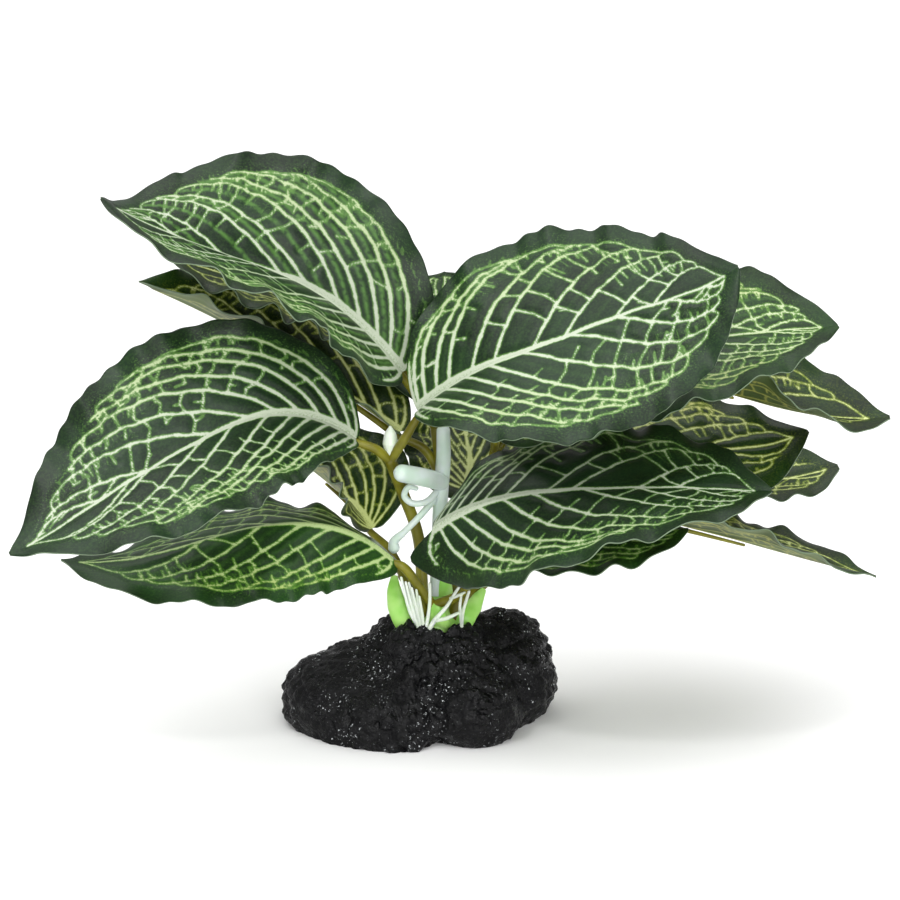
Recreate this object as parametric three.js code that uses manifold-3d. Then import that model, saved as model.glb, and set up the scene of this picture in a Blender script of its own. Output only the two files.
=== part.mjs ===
// An artificial nerve plant: printed fabric leaves on moulded stems that are glued into a black resin rock.
// Millimetres, +Z up, X to the right and Y away from the viewer. The origin is the middle of the rock's flat
// underside. Each leaf is one thin waved blade, and each spray is one moulding whose ribs lie under its leaves.
import * as THREE from "three";
import Module from "manifold-3d";
import { mergeVertices } from "three/addons/utils/BufferGeometryUtils.js";

const wasm = await Module();
wasm.setup();

// ---- Driving dimensions ----
const CLEARANCE = 0.35; // between pieces that touch on the real plant
const CROWN = { x: 6, y: 0, rootHeight: 29 }; // where the stems enter the rock, and how deep they go

const BLADE = { thickness: 0.7, rows: 18, firstRow: 0.012, lastRow: 0.99, ruffles: 5.5 };
const BLADE_COLUMNS = [-1, -0.78, -0.42, 0, 0.42, 0.78, 1];

// Each leaf: four evenly spaced places along its midrib from base to tip, then how far its left and right halves
// rise above level at the base, the middle and the tip (in degrees), how much each half curves on upward, the
// widest width, how full the outline is at the base and at the tip (small is full), how far the left and right lobes
// at the base reach back, and the height of the ruffles along the edge.
const LEAVES = {
  front_left: {
    midrib: [[-20, -12, 102], [-56, -30, 113], [-92, -48, 97], [-129, -62, 77]],
    left: [-22, -22, -10], right: [72, 58, 40], cup: -4,
    width: 72, shape: [0.72, 0.88], lobes: [2, 2], ruffle: 2,
  },
  top_left: {
    midrib: [[-5, 2, 121], [-36, -4, 151], [-69, -14, 167], [-101, -25, 185]],
    left: [-26, -5, -17], right: [88, 72, 0], cup: -4,
    width: 79, shape: [0.58, 0.78], lobes: [3, 3], ruffle: 2,
  },
  front_right: {
    midrib: [[0, -14, 112], [33, -26, 135], [70, -36, 150], [102, -42, 166]],
    left: [80, 48, 38], right: [-8, -46, -74], cup: -4,
    width: 82, shape: [0.62, 0.78], lobes: [0, 0], ruffle: 2,
  },
  low_right: {
    midrib: [[5, -20, 74], [38, -34, 90], [77, -42, 94], [114, -45, 93]],
    left: [30, 20, 25], right: [-85, -22, -10], cup: 0,
    width: 74, shape: [0.6, 0.7], lobes: [2, 16], ruffle: 2,
  },
  low_left: {
    midrib: [[-8, -12, 61], [-42, -22, 76], [-79, -27, 69], [-117, -28, 65]],
    left: [-50, -42, -12], right: [0, 0, 0], cup: 0,
    width: 56, shape: [0.62, 0.82], lobes: [5, 5], ruffle: 2,
  },
  shaded_left: {
    midrib: [[-6, 12, 98], [-34, 18, 116], [-62, 17, 133], [-93, 10, 150]],
    left: [20, 21, 22], right: [36, 40, 50], cup: 0,
    width: 56, shape: [0.6, 0.8], lobes: [2, 2], ruffle: 2,
  },
  inner_left: {
    midrib: [[-7, 14, 122], [-30, 20, 135], [-56, 20, 147], [-82, 14, 157]],
    left: [0, 0, -25], right: [40, 40, 40], cup: 0,
    width: 46, shape: [0.6, 0.6], lobes: [0, 0], ruffle: 2.5,
  },
  centre_left: {
    midrib: [[-16, 12, 64], [-23, 17, 72], [-34, 20, 81], [-50, 22, 93]],
    left: [28, 28, 28], right: [66, 66, 60], cup: 0,
    width: 50, shape: [0.5, 0.8], lobes: [2, 2], ruffle: 1.5,
  },
  back_right: {
    midrib: [[27, 2, 103], [63, -4, 126], [102, -4, 135], [139, 0, 137]],
    left: [38, 38, 38], right: [-22, -20, -12], cup: 0,
    width: 76, shape: [0.5, 0.7], lobes: [2, 2], ruffle: 2,
  },
  folded_right: {
    midrib: [[43, 10, 107], [78, 12, 117], [116, 12, 108], [159, 12, 103]],
    left: [20, 35, 32], right: [-25, 28, -16], cup: 0,
    width: 60, shape: [0.8, 0.7], lobes: [0, 0], ruffle: 2,
  },
  middle_right: {
    midrib: [[34, 18, 86], [65, 20, 91], [99, 22, 89], [133, 25, 95]],
    left: [32, 32, 32], right: [-16, -20, -42], cup: 0,
    width: 62, shape: [0.6, 0.75], lobes: [0, 0], ruffle: 2,
  },
  outer_right: {
    midrib: [[63, 36, 65], [91, 42, 69], [119, 45, 71], [146, 47, 77]],
    left: [30, 30, 30], right: [18, 12, -30], cup: 0,
    width: 42, shape: [0.6, 0.6], lobes: [0, 0], ruffle: 1.5,
  },
  drooping_right: {
    midrib: [[53, 8, 75], [86, 2, 69], [118, -1, 61], [154, -4, 52]],
    left: [-6, 0, 12], right: [4, 26, 8], cup: 0,
    width: 54, shape: [0.6, 0.85], lobes: [0, 0], ruffle: 1.5,
  },
  under_right: {
    midrib: [[21, -3, 63], [42, -6, 66], [66, -10, 69], [90, -12, 71]],
    left: [-12, -12, -12], right: [-10, -16, -18], cup: 0,
    width: 46, shape: [0.6, 0.65], lobes: [0, 0], ruffle: 1.5,
  },
  centre_back: {
    midrib: [[17, 20, 75], [17, 32, 83], [16, 45, 91], [14, 58, 97]],
    left: [20, 20, 20], right: [20, 20, 20], cup: 0,
    width: 46, shape: [0.4, 0.8], lobes: [6, 6], ruffle: 1.5,
  },
  top_back: {
    midrib: [[5, 22, 106], [6, 34, 123], [8, 44, 135], [9, 54, 144]],
    left: [28, 15, 15], right: [15, 15, 15], cup: 0,
    width: 48, shape: [0.5, 0.8], lobes: [2, 2], ruffle: 1.5,
  },
};

// Each spray: the places its trunk passes through, from its foot in the rock to its fork, and for each leaf on it
// the places its stalk passes through on the way from the fork to the blade.
const SPRAYS = {
  front: {
    trunk: [[2, -4, 29], [1.5, -3.5, 45], [0, 0, 65], [-5, 0, 80], [-9, -7, 93]],
    stalks: {
      front_left: [[-9, -7, 93], [-14, -10, 98]],
      front_right: [[-9, -7, 93], [-4, -11, 102]],
    },
  },
  back: {
    trunk: [[6, 5, 29], [6, 5, 50], [7, 7, 62], [8, 10, 82], [6, 12, 99]],
    stalks: {
      top_left: [[6, 12, 99], [1, 8, 109]],
      shaded_left: [[8, 10, 82], [2, 12, 92]],
      inner_left: [[6, 12, 99], [1, 15, 112]],
      top_back: [[6, 12, 99], [6, 16, 102]],
    },
  },
  right: {
    trunk: [[11, 3, 29], [12, 4, 45], [17, 10, 59], [23, 13, 77], [26, 13, 91]],
    stalks: {
      back_right: [[26, 13, 91], [26, 7, 96]],
      folded_right: [[26, 13, 91], [34, 12, 101]],
      middle_right: [[23, 13, 77], [28, 16, 82]],
      centre_back: [[17, 10, 59], [16, 15, 68]],
    },
  },
  low: {
    trunk: [[7, -5, 29], [6.5, -6, 38], [5, -7.5, 43]],
    stalks: {
      low_left: [[5, -7.5, 43], [0, -10, 51], [-5, -12, 58]],
      low_right: [[5, -7.5, 43], [15, -11, 49], [17, -14, 59], [11, -17, 69]],
    },
  },
  side: {
    trunk: [[0, 2, 29], [0, 3, 42], [-5, 4, 50]],
    stalks: {
      centre_left: [[-5, 4, 50], [-10, 8, 58]],
    },
  },
  outer: {
    trunk: [[12, -3, 29], [13, -2, 42], [20, 4, 45]],
    stalks: {
      drooping_right: [[20, 4, 45], [29, 15, 53], [43, 15, 68]],
      outer_right: [[20, 4, 45], [35, 22, 52], [52, 35, 59]],
      under_right: [[20, 4, 45], [19, 0, 54]],
    },
  },
};

const STEM = {
  sides: 6, trunkRadius: 2, stalkRadius: 1.6, ribRadius: 1.2, ribEndRadius: 0.5, ribEnd: 0.58, ribGap: 0.5,
};
const RIB_PLACES = [0, 0.1, 0.25, 0.42, STEM.ribEnd]; // s of the places that a rib passes through

// The milky stalk between the sprays: each of its limbs by its places and the radius at each.
const PALE_STALK = [
  {
    places: [[6, -0.5, 29], [6, -0.5, 44], [6.5, 0, 56.5], [7.5, 1, 77.5], [8.5, 2, 91], [8.5, 3, 100.5]],
    radii: [2.2, 2.2, 2.3, 2.5, 2.5, 2.3],
  },
  {
    places: [[7.5, 0, 84], [2, -7.5, 87.5], [-5, -11.5, 90]],
    radii: [3, 3.1, 3],
  },
  {
    places: [[6.5, 0, 80.5], [2.5, -4, 78], [-2, -5, 78], [-4.5, -5, 80.5], [-3, -5, 83.5], [-0.5, -5, 83]],
    radii: [1.2, 1.1, 1.1, 1.1, 1, 0.8],
  },
  {
    places: [[6, 0, 78.5], [0.5, -4, 73], [-4.5, -5, 68], [-8, -5, 64.5], [-8, -5, 62.5]],
    radii: [1.2, 1.1, 1.1, 1.6, 2],
  },
];

// The white bud in the fork of the front spray, and the white plastic roots in front of the crown.
const WHITE_BUD = [
  {
    places: [[-9, -7, 95.5], [-9, -7, 99], [-9, -7, 102.5], [-9, -7, 104.5]],
    radii: [1.8, 2.6, 2, 0.6],
  },
];
const WHITE_ROOTS = {
  left: [
    {
      places: [[2, -10, 28], [2, -10, 33], [-2.5, -12, 42], [-5.5, -13, 54.5]],
      radii: [0.7, 0.7, 0.6, 0.4],
    },
    {
      places: [[2, -10, 31], [-1.5, -12, 42], [-4, -13.5, 53]],
      radii: [0.7, 0.6, 0.4],
    },
    {
      places: [[2, -10, 31], [0, -12, 41.5], [-2, -13.5, 51]],
      radii: [0.7, 0.6, 0.4],
    },
    {
      places: [[2, -10, 32], [-2, -11, 42.5], [-5, -12.5, 52.5]],
      radii: [0.9, 0.8, 0.4],
    },
    {
      places: [[2, -10, 32], [-0.5, -11.5, 42.5], [-3, -12.5, 52.5]],
      radii: [0.9, 0.8, 0.4],
    },
    {
      places: [[2, -10, 32], [0.5, -11.5, 42], [-0.5, -12.5, 50]],
      radii: [0.9, 0.8, 0.4],
    },
    {
      places: [[2, -10, 31], [1.5, -12, 40.5], [0.5, -13.5, 48]],
      radii: [0.7, 0.6, 0.4],
    },
    {
      places: [[2, -10, 32], [3.5, -12.5, 41.5], [4, -13, 46.5], [4, -13.5, 52.5]],
      radii: [0.7, 0.6, 0.6, 0.5],
    },
    {
      places: [[2, -10, 32], [5.5, -13, 39.5], [9.5, -13.5, 44.5], [12.5, -13.5, 49.5], [14.5, -13.5, 52.5]],
      radii: [0.8, 0.8, 0.6, 0.5, 0.4],
    },
    {
      places: [[11, -13.5, 47.5], [13.5, -13.5, 48.5], [15.5, -13.5, 49.5]],
      radii: [0.6, 0.5, 0.4],
    },
    {
      places: [[5.5, -13, 39.5], [9.5, -13.5, 40.5], [13.5, -14, 42.5]],
      radii: [0.7, 0.7, 0.5],
    },
  ],
  right: [
    {
      places: [[14.3, -6.9, 28], [14.5, -9, 35], [15, -12, 42], [17, -12.5, 49.5]],
      radii: [0.7, 0.7, 0.6, 0.5],
    },
    {
      places: [[14.5, -10.5, 38], [14, -13, 44.5], [14.5, -13, 48.5]],
      radii: [0.6, 0.5, 0.4],
    },
  ],
};

// The green leaf sheaths round the crown, as flat blades by their places and half widths, and the plug below them.
const SHEATHS = [
  {
    places: [[-1.5, -4.5, 31], [-5, -6, 36.5], [-7, -6, 42.5], [-8, -4, 47.5], [-8, -2, 51.5]],
    radii: [3, 3.2, 3.4, 2.5, 1.2],
  },
  {
    places: [[13.5, -4, 30], [16, -4, 37.5], [18.5, -1, 41], [22, 1, 46]],
    radii: [2.5, 3.3, 3.2, 1],
  },
  {
    places: [[8, -1, 37], [8.5, -1.5, 46], [9.5, -2, 54.5]],
    radii: [3.4, 3.2, 1.4],
  },
  {
    places: [[7.5, -7, 35], [6, -9, 41], [4, -8.5, 44]],
    radii: [4, 3, 1.2],
  },
];
const SHEATH_FLATNESS = 0.4;
const PLUG_PROFILE = [[0, 27.4], [9.6, 27.4], [9.6, 33], [9, 37], [6.5, 40], [0, 41.5]];

// ---- Small geometry helpers ----
const vector = (xyz) => new THREE.Vector3(...xyz);
const radians = THREE.MathUtils.degToRad;
const mix = THREE.MathUtils.lerp;
const UP = new THREE.Vector3(0, 0, 1);

function solidOf(geometry) {
  const bare = geometry.clone();
  for (const extra of ["normal", "uv"]) bare.deleteAttribute(extra);
  const merged = mergeVertices(bare, 1e-4);
  const triVerts = new Uint32Array(merged.index.array);
  return new wasm.Manifold(
    new wasm.Mesh({ numProp: 3, vertProperties: merged.attributes.position.array, triVerts }),
  );
}

function geometryOf(solid) {
  const mesh = solid.getMesh();
  const geometry = new THREE.BufferGeometry();
  geometry.setAttribute("position", new THREE.BufferAttribute(Float32Array.from(mesh.vertProperties), 3));
  geometry.setIndex(new THREE.BufferAttribute(Uint32Array.from(mesh.triVerts), 1));
  return geometry;
}

function geometryFrom(points, faces) {
  const geometry = new THREE.BufferGeometry();
  geometry.setAttribute("position", new THREE.Float32BufferAttribute(points.flatMap((p) => p.toArray()), 3));
  geometry.setIndex(faces.flat());
  return geometry;
}

const joined = (solids) => solids.reduce((sum, solid) => sum.add(solid));

// A closed tapered tube through the given places, with a radius for each place. Its section is `flatness` times as
// deep as it is wide.
function tube(places, radii, sides = STEM.sides, flatness = 1) {
  const curve = new THREE.CatmullRomCurve3(places, false, "centripetal");
  const stepsEach = 2;
  const steps = stepsEach * (places.length - 1);
  const points = [];
  let normal = new THREE.Vector3(0.1, 1, 0.2);
  for (let step = 0; step <= steps; step++) {
    const before = Math.min(Math.floor(step / stepsEach), radii.length - 2);
    const radius = mix(radii[before], radii[before + 1], step / stepsEach - before);
    const centre = curve.getPoint(step / steps);
    const tangent = curve.getTangent(step / steps);
    normal = normal.clone().addScaledVector(tangent, -normal.dot(tangent)).normalize();
    const binormal = tangent.clone().cross(normal);
    for (let side = 0; side < sides; side++) {
      const angle = (2 * Math.PI * side) / sides;
      const across = normal.clone().multiplyScalar(radius * flatness * Math.cos(angle));
      points.push(centre.clone().add(across).addScaledVector(binormal, radius * Math.sin(angle)));
    }
  }
  const faces = [];
  for (let step = 0; step < steps; step++) {
    for (let side = 0; side < sides; side++) {
      const next = (side + 1) % sides;
      const [a, b] = [step * sides + side, step * sides + next];
      faces.push([a, b, b + sides], [a, b + sides, a + sides]);
    }
  }
  const last = steps * sides;
  for (let side = 1; side < sides - 1; side++) {
    faces.push([0, side + 1, side], [last, last + side, last + side + 1]);
  }
  return solidOf(geometryFrom(points, faces));
}

// ---- Leaf blades ----
// Half width of a blade as a share of its widest, at s from 0 at the base to 1 at the tip, with a drawn-out tip.
function outline(leaf, s) {
  const [rise, fall] = leaf.shape;
  const peak = rise / (rise + fall);
  const shape = (t) => t ** rise * (1 - t) ** fall;
  return (shape(s) / shape(peak)) * (1 - 0.55 * s ** 20);
}

// The midrib's place at s: the cubic curve through the leaf's four places.
function midribPoint(leaf, s) {
  const weights = [
    -4.5 * (s - 1 / 3) * (s - 2 / 3) * (s - 1),
    13.5 * s * (s - 2 / 3) * (s - 1),
    -13.5 * s * (s - 1 / 3) * (s - 1),
    4.5 * s * (s - 1 / 3) * (s - 2 / 3),
  ];
  const point = new THREE.Vector3();
  leaf.midrib.forEach((place, i) => point.addScaledVector(vector(place), weights[i]));
  return point;
}

// How far one half of the blade rises above level at s: the smooth change through its three angles.
function rise(angles, s) {
  const [base, middle, tip] = angles;
  return 2 * (s - 0.5) * (s - 1) * base + 4 * s * (1 - s) * middle + 2 * s * (s - 0.5) * tip;
}

// The directions along the midrib, level to its right, and up from it.
function midribAxes(leaf, s) {
  const step = 0.01;
  const forward = midribPoint(leaf, s + step).sub(midribPoint(leaf, s - step)).normalize();
  const right = forward.clone().cross(UP).normalize();
  return { forward, right, up: right.clone().cross(forward) };
}

// A point of the blade's middle surface, at s along it and u across it, from -1 at the left edge to 1 at the right.
function bladePoint(leaf, s, u) {
  const { forward, right, up } = midribAxes(leaf, s);
  const side = Math.sign(u);
  const out = Math.abs(u);
  const reach = (out * outline(leaf, s) * leaf.width) / 2;
  const tilt = radians(rise(u < 0 ? leaf.left : leaf.right, s) + (leaf.cup * out) / 2);
  const phase = 2 * Math.PI * (BLADE.ruffles * s + 0.25 * side) + leaf.width;
  const wave = leaf.ruffle * out ** 3 * Math.sqrt(Math.sin(Math.PI * s)) * Math.sin(phase);
  return midribPoint(leaf, s)
    .addScaledVector(forward, -leaf.lobes[u < 0 ? 0 : 1] * out ** 2 * (1 - s) ** 4)
    .addScaledVector(right, side * (reach * Math.cos(tilt) - wave * Math.sin(tilt)))
    .addScaledVector(up, reach * Math.sin(tilt) + wave * Math.cos(tilt));
}

function bladeNormal(leaf, s, u) {
  const step = 0.005;
  const sideways = bladePoint(leaf, s, u + step).sub(bladePoint(leaf, s, u - step));
  const onward = bladePoint(leaf, s + step, u).sub(bladePoint(leaf, s - step, u));
  return sideways.cross(onward).normalize();
}

// A thin closed blade, split into the same triangles above and below.
function bladeGeometry(leaf) {
  const across = BLADE_COLUMNS.length;
  const points = [];
  for (const face of [0.5, -0.5]) {
    for (let row = 0; row <= BLADE.rows; row++) {
      const s = mix(BLADE.firstRow, BLADE.lastRow, row / BLADE.rows);
      for (const u of BLADE_COLUMNS) {
        const normal = bladeNormal(leaf, s, u);
        points.push(bladePoint(leaf, s, u).addScaledVector(normal, face * BLADE.thickness));
      }
    }
  }
  const under = across * (BLADE.rows + 1);
  const index = (row, column) => row * across + column;
  const faces = [];
  for (let row = 0; row < BLADE.rows; row++) {
    for (let column = 0; column < across - 1; column++) {
      const [a, b] = [index(row, column), index(row, column + 1)];
      const [c, d] = [index(row + 1, column + 1), index(row + 1, column)];
      faces.push([a, b, c], [a, c, d], [under + a, under + c, under + b], [under + a, under + d, under + c]);
    }
  }
  const rim = [];
  for (let column = 0; column < across - 1; column++) rim.push(index(0, column));
  for (let row = 0; row < BLADE.rows; row++) rim.push(index(row, across - 1));
  for (let column = across - 1; column > 0; column--) rim.push(index(BLADE.rows, column));
  for (let row = BLADE.rows; row > 0; row--) rim.push(index(row, 0));
  rim.forEach((a, i) => {
    const b = rim[(i + 1) % rim.length];
    faces.push([a, under + a, b], [b, under + a, under + b]);
  });
  return geometryFrom(points, faces);
}

// ---- Sprays ----
// The middle of the rib at s, just under the fold of the blade.
function ribPoint(leaf, s, radius) {
  const { forward, right, up } = midribAxes(leaf, s);
  const [leftRise, rightRise] = [radians(rise(leaf.left, s)), radians(rise(leaf.right, s))];
  const leftHalf = right.clone().multiplyScalar(-Math.cos(leftRise)).addScaledVector(up, Math.sin(leftRise));
  const rightHalf = right.clone().multiplyScalar(Math.cos(rightRise)).addScaledVector(up, Math.sin(rightRise));
  const normal = rightHalf.clone().sub(leftHalf).cross(forward).normalize();
  const drop = Math.max(0, -rightHalf.dot(normal));
  const depth = (BLADE.thickness / 2 + STEM.ribGap + radius) / Math.sqrt(1 - drop * drop);
  return midribPoint(leaf, s).addScaledVector(normal, -depth);
}

// A spray's trunk with the stalks and ribs of its leaves; `extra` fattens it all for cutting its way through others.
function spraySolid(spray, extra = 0) {
  const parts = [tube(spray.trunk.map(vector), spray.trunk.map(() => STEM.trunkRadius + extra))];
  for (const [name, stalk] of Object.entries(spray.stalks)) {
    const ribRadii = RIB_PLACES.map((s) => mix(STEM.ribRadius, STEM.ribEndRadius, s / STEM.ribEnd));
    const rib = RIB_PLACES.map((s, i) => ribPoint(LEAVES[name], s, ribRadii[i]));
    const radii = [...stalk.map(() => STEM.stalkRadius), ...ribRadii].map((radius) => radius + extra);
    parts.push(tube([...stalk.map(vector), ...rib], radii));
  }
  return joined(parts);
}

// ---- The resin rock ----
const ROCK = { middle: [2, 0, 10], bands: 18, turns: 40, roughness: 1.1, pocketRadius: 12, pocketFloor: 27 };
// Lumps of the rock: centre, and half sizes along X, Y and Z.
const ROCK_LUMPS = [
  { at: [6, 2, 14], size: [27, 26, 26] },
  { at: [-21, -1, 7], size: [25, 25, 19] },
  { at: [28, 8, 12], size: [18, 21, 23] },
  { at: [-9, -13, 6], size: [20, 20, 15] },
  { at: [18, -13, 8], size: [16, 19, 17] },
  { at: [6, 18, 8], size: [24, 16, 20] },
];

// How far the rock reaches from its middle in one direction: the furthest of its lumps, softly joined.
function rockReach(direction) {
  let sum = 0;
  for (const lump of ROCK_LUMPS) {
    const size = vector(lump.size);
    const from = vector(ROCK.middle).sub(vector(lump.at)).divide(size);
    const ray = direction.clone().divide(size);
    const [a, b, c] = [ray.dot(ray), 2 * from.dot(ray), from.dot(from) - 1];
    const crossing = b * b - 4 * a * c;
    if (crossing > 0) sum += Math.max(0, (-b + Math.sqrt(crossing)) / (2 * a)) ** 12;
  }
  return sum ** (1 / 12);
}

function rockSolid() {
  const ball = new THREE.SphereGeometry(1, ROCK.turns, ROCK.bands).rotateX(Math.PI / 2);
  const place = ball.attributes.position;
  for (let i = 0; i < place.count; i++) {
    const direction = new THREE.Vector3().fromBufferAttribute(place, i).normalize();
    const bump = Math.sin(7 * direction.x + 3) * Math.sin(9 * direction.y) * Math.cos(8 * direction.z);
    const reach = rockReach(direction) + ROCK.roughness * bump;
    const point = vector(ROCK.middle).addScaledVector(direction, reach);
    place.setXYZ(i, point.x, point.y, Math.max(point.z, 0));
  }
  const height = 30;
  const pocket = new THREE.CylinderGeometry(ROCK.pocketRadius, ROCK.pocketRadius, height, 24);
  pocket.rotateX(Math.PI / 2).translate(CROWN.x, CROWN.y, ROCK.pocketFloor + height / 2);
  return solidOf(ball).subtract(solidOf(pocket));
}

// ---- The plant ----
const plant = new THREE.Group();
function add(name, geometry, colour, roughness) {
  const material = new THREE.MeshStandardMaterial({ color: colour, roughness, metalness: 0 });
  const mesh = new THREE.Mesh(geometry, material);
  mesh.name = name;
  plant.add(mesh);
}

const limbs = (list, sides, extra = 0, flatness = 1) =>
  joined(list.map(({ places, radii }) => tube(places.map(vector), radii.map((r) => r + extra), sides, flatness)));

const sprayEntries = Object.entries(SPRAYS);
const allSpraysFattened = joined(sprayEntries.map(([, spray]) => spraySolid(spray, CLEARANCE)));

// The crown: a plug in the rock's pocket with the sheaths growing out of it, and a hole for each stem.
function crownSolid() {
  const profile = PLUG_PROFILE.map(([radius, height]) => new THREE.Vector2(radius, height));
  const plug = new THREE.LatheGeometry(profile, 20).rotateX(Math.PI / 2).translate(CROWN.x, CROWN.y, 0);
  const grown = solidOf(plug).add(limbs(SHEATHS, 8, 0, SHEATH_FLATNESS));
  return grown.subtract(allSpraysFattened).subtract(limbs(PALE_STALK, 8, CLEARANCE));
}

const rootsFattened = joined(Object.values(WHITE_ROOTS).map((roots) => limbs(roots, 5, CLEARANCE)));
const rockCut = rockSolid().subtract(rootsFattened).subtract(limbs(SHEATHS, 8, CLEARANCE, SHEATH_FLATNESS));

add("base_rock", geometryOf(rockCut), 0x151515, 0.5);
add("crown_sheaths", geometryOf(crownSolid()), 0x8fce5a, 0.4);
add("pale_stalk", geometryOf(limbs(PALE_STALK, 8)), 0xdfe8de, 0.4);
add("white_bud", geometryOf(limbs(WHITE_BUD, 6).subtract(allSpraysFattened)), 0xf2f4ee, 0.4);
for (const [name, roots] of Object.entries(WHITE_ROOTS)) {
  add(`white_roots_${name}`, geometryOf(limbs(roots, 5)), 0xe6eee0, 0.4);
}
for (const [name, spray] of sprayEntries) {
  add(`spray_${name}`, geometryOf(spraySolid(spray)), 0x6b6a2c, 0.5);
}
for (const [name, leaf] of Object.entries(LEAVES)) {
  add(`leaf_${name}`, bladeGeometry(leaf), 0x2f4a33, 0.45);
}

export default plant;
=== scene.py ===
"""The looks of an artificial nerve plant: printed fabric leaves on moulded stems in a black resin rock.

Sizes are in millimetres in the tables and helpers, and turned to metres where a mesh is made. +Z is up, +X
is to the right and +Y is away from the viewer. The origin is the middle of the rock's underside.
"""

import functools
import itertools
import math

import bpy
import numpy as np
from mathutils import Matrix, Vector


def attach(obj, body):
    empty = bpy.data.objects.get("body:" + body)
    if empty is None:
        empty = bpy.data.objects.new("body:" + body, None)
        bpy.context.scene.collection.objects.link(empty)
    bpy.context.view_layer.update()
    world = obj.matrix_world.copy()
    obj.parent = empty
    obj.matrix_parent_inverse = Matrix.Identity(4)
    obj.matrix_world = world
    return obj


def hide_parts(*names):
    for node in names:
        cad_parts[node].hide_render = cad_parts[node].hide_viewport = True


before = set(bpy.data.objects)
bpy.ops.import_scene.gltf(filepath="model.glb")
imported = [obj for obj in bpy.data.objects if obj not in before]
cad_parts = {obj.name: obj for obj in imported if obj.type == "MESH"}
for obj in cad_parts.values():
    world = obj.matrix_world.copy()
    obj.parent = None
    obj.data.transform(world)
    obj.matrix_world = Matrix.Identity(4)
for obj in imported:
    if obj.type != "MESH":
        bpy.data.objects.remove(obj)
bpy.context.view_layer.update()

MM = 0.001
UP = np.array((0.0, 0.0, 1.0))

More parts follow.
